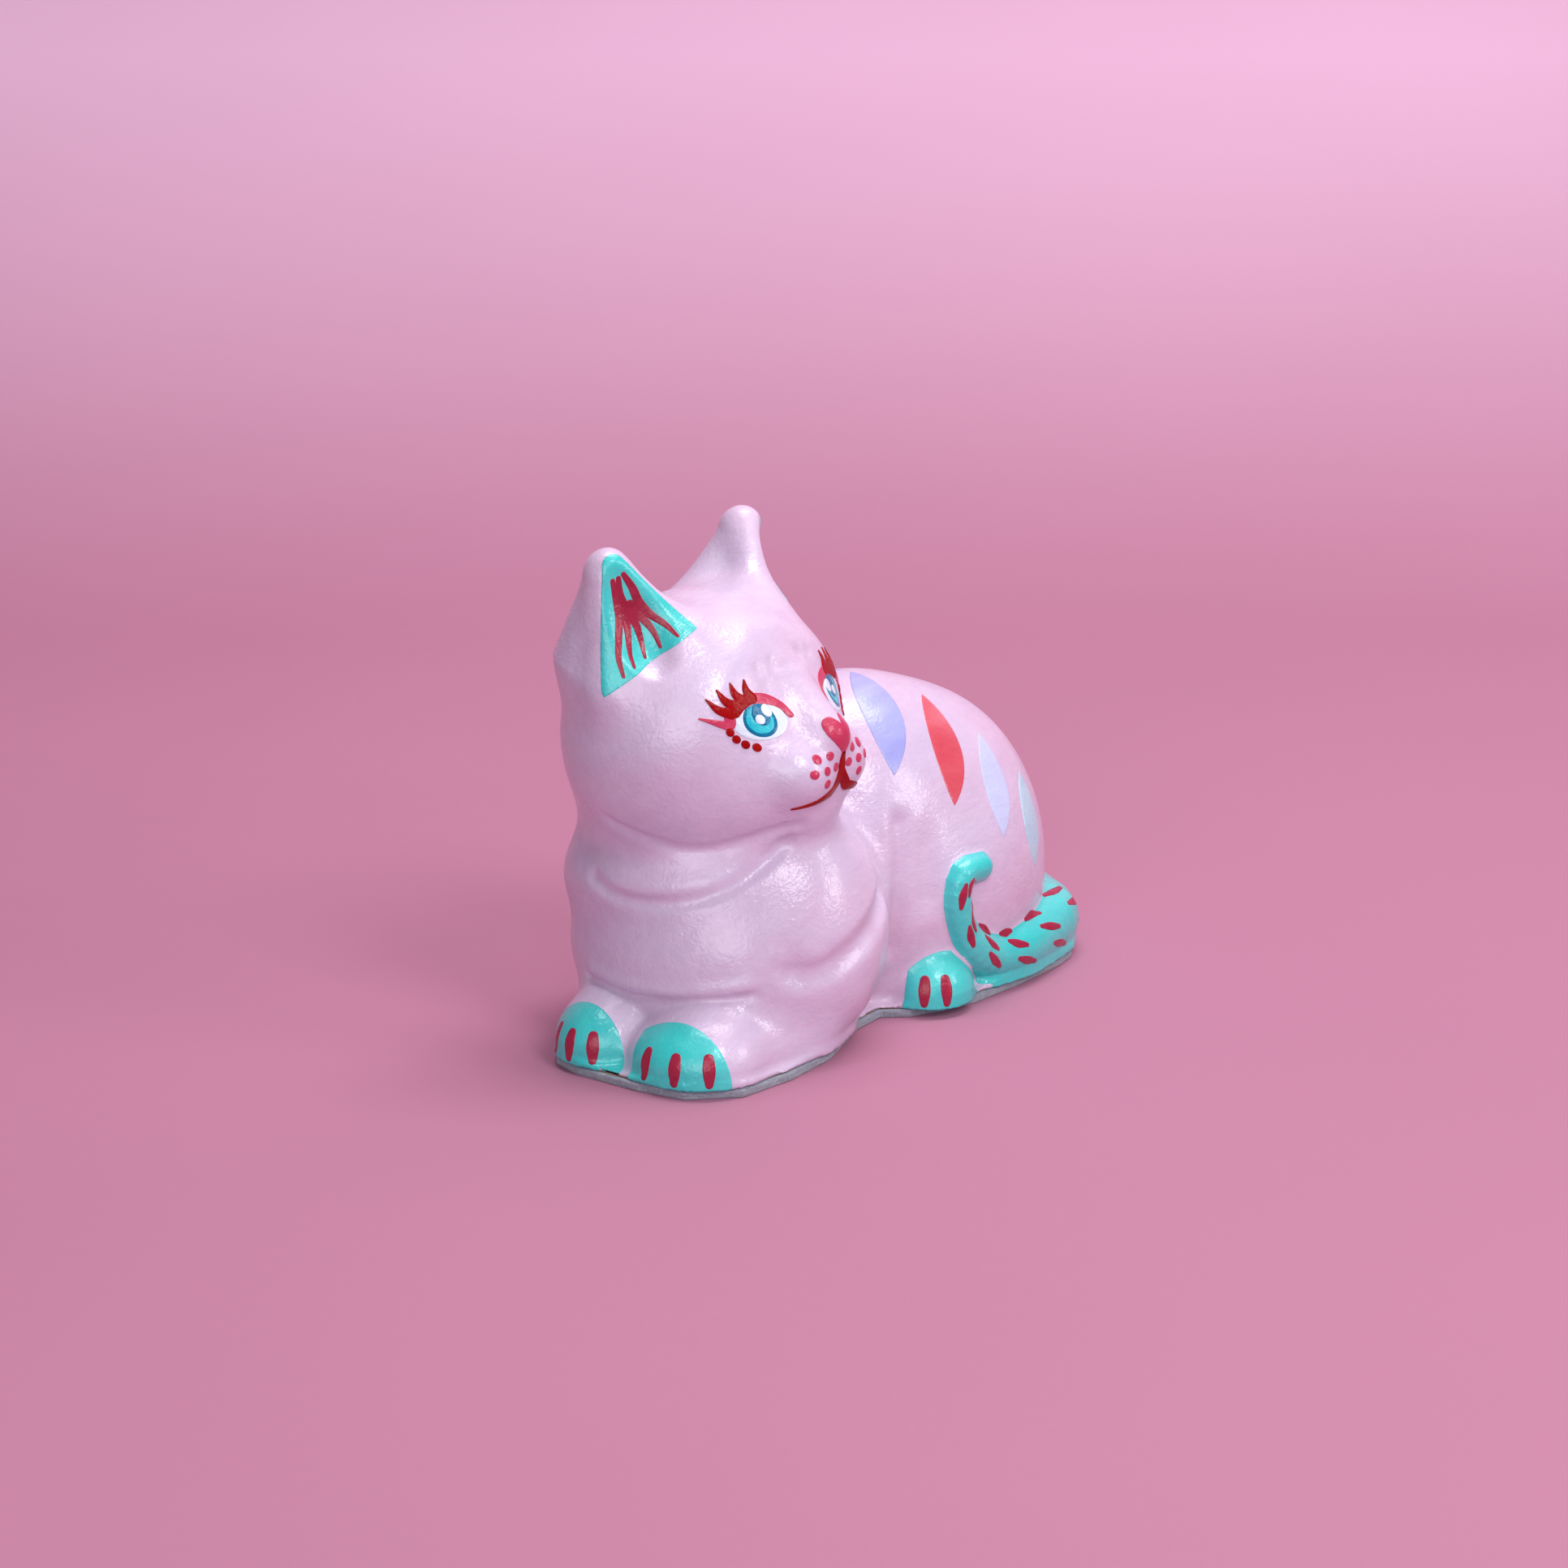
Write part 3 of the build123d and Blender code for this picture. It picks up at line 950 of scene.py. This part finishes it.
def felt_material():
    nodes = Nodes("felt_grey")
    fibres = nodes.noise(900, 6, 0.75, 1.5)
    layers = nodes.noise(160, 4, 0.6, 0.0, stretch=((0, 0, 0), (1.0, 1.0, 9.0)))
    flecks = nodes.noise(420, 3, 0.6, 2.0)
    colour = nodes.ramp(fibres, [(0.3, linear(122, 126, 140)), (0.55, linear(158, 162, 176)),
                                 (0.75, linear(186, 188, 200))])
    streak = nodes.ramp(layers, [(0.35, (0.5, 0.5, 0.5, 1)), (0.65, (1, 1, 1, 1))])
    colour = nodes.mix(0.55, colour, streak, "MULTIPLY")
    fleck = nodes.ramp(flecks, [(0.62, (0, 0, 0, 1)), (0.7, (0.5, 0.5, 0.5, 1))])
    colour = nodes.mix(fleck, colour, linear(206, 204, 212))
    normal = nodes.bump(layers, 0.5, 0.0004)
    normal = nodes.bump(fibres, 0.7, 0.0003, normal)
    return nodes.finish(colour, 0.93, normal, Sheen_Weight=0.35, Sheen_Roughness=0.5)


def glue_material():
    nodes = Nodes("glue_brown")
    colour = nodes.ramp(nodes.noise(180, 4, 0.6), [(0.35, linear(92, 70, 58)), (0.65, linear(142, 118, 96))])
    rough = nodes.ramp(nodes.noise(300, 2), [(0.3, (0.35,) * 3 + (1,)), (0.7, (0.65,) * 3 + (1,))])
    return nodes.finish(colour, rough, nodes.bump(nodes.noise(400, 3), 0.5, 0.0002))


pad = make_object("felt_base_pad", *felt_pad(), felt_material())
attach(pad, "root")
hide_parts("base_pad")

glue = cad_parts["pad_adhesive"]
glue.data.materials.clear()
glue.data.materials.append(glue_material())


# ---------------------------------------------------------------- stage, light and camera
def backdrop():
    """A seamless sheet: floor, a wide cove and a wall behind."""
    camera_side = math.radians(37)
    away = np.array([-math.sin(camera_side), math.cos(camera_side)])
    across = np.array([math.cos(camera_side), math.sin(camera_side)])
    profile = [(-2600.0, 0.0)] + [(520.0, 0.0)]
    for i in range(1, 13):
        a = math.radians(90 * i / 12)
        profile.append((520 + 420 * math.sin(a), 420 - 420 * math.cos(a)))
    profile.append((940.0, 2400.0))
    vertices = []
    for along, height in profile:
        for side in (-3000, 3000):
            vertices.append((*(away * along + across * side), height))
    faces = [[2 * i, 2 * i + 1, 2 * i + 3, 2 * i + 2] for i in range(len(profile) - 1)]
    nodes = Nodes("backdrop_pink_painted_shade")
    height = nodes.add("ShaderNodeSeparateXYZ")
    nodes.wire(nodes.coords, height.inputs["Vector"])
    # Painted shade: the sheet is one pink, painted darker on the floor and lighter up the cove to 0.25 m
    # high, where light leaves the floor darker than the wall.
    colour = nodes.ramp(height.outputs["Z"], [(0.0, linear(180, 118, 145)), (0.25, linear(222, 176, 206))])
    tone = nodes.ramp(nodes.noise(2.5, 2, 0.5), [(0.3, (0.95, 0.95, 0.95, 1)), (0.7, (1, 1, 1, 1))])
    colour = nodes.mix(1.0, colour, tone, "MULTIPLY")
    material = nodes.finish(colour, 0.8, nodes.bump(nodes.noise(700, 3), 0.05, 0.0003))
    sheet = make_object("backdrop", vertices, faces, material)


backdrop()


def soft_light(name, place, target, size, power, colour=(1, 1, 1)):
    data = bpy.data.lights.new(name, "AREA")
    data.shape, data.size, data.size_y = "RECTANGLE", size[0], size[1]
    data.energy, data.color = power, colour
    lamp = bpy.data.objects.new(name, data)
    lamp.location = place
    lamp.rotation_euler = (Vector(target) - Vector(place)).to_track_quat("-Z", "Y").to_euler()
    bpy.context.scene.collection.objects.link(lamp)


AIM = (-0.01, 0.0, 0.07)
soft_light("key", (0.95, -0.35, 1.0), AIM, (0.36, 0.50), 6.6, (0.985, 0.99, 1.0))
soft_light("window_a", (1.25, 0.30, 0.55), AIM, (0.09, 0.50), 2.0)
soft_light("window_b", (1.20, 0.50, 0.55), AIM, (0.09, 0.50), 1.6)
soft_light("fill", (0.75, -1.35, 0.55), AIM, (1.0, 0.8), 8.6, (0.90, 0.97, 1.0))
soft_light("overhead", (0.25, 0.35, 1.5), AIM, (1.2, 1.0), 5.0, (0.97, 0.98, 1.0))
soft_light("wall_wash", (0.1, 0.3, 1.9), (-0.6, 0.8, 0.2), (1.4, 0.6), 23.0)

bpy.context.scene.view_settings.view_transform = "Standard"
world = bpy.data.worlds.new("studio")
bpy.context.scene.world = world
world.use_nodes = True
world.node_tree.nodes["Background"].inputs["Color"].default_value = (0.80, 0.74, 0.84, 1)
world.node_tree.nodes["Background"].inputs["Strength"].default_value = 0.20

camera_data = bpy.data.cameras.new("camera")
camera_data.sensor_width, camera_data.lens = 36.0, 74.5
camera_data.clip_start, camera_data.clip_end = 0.05, 20.0
camera = bpy.data.objects.new("camera", camera_data)
look_at = Vector((-0.0165, 0.0051, 0.0636))
azimuth, elevation, distance = math.radians(37), math.radians(15), 1.0152
back = Vector((math.sin(azimuth) * math.cos(elevation), -math.cos(azimuth) * math.cos(elevation),
               math.sin(elevation)))
camera.location = look_at + back * distance
camera.rotation_euler = (-back).to_track_quat("-Z", "Y").to_euler()
bpy.context.scene.collection.objects.link(camera)
bpy.context.scene.camera = camera
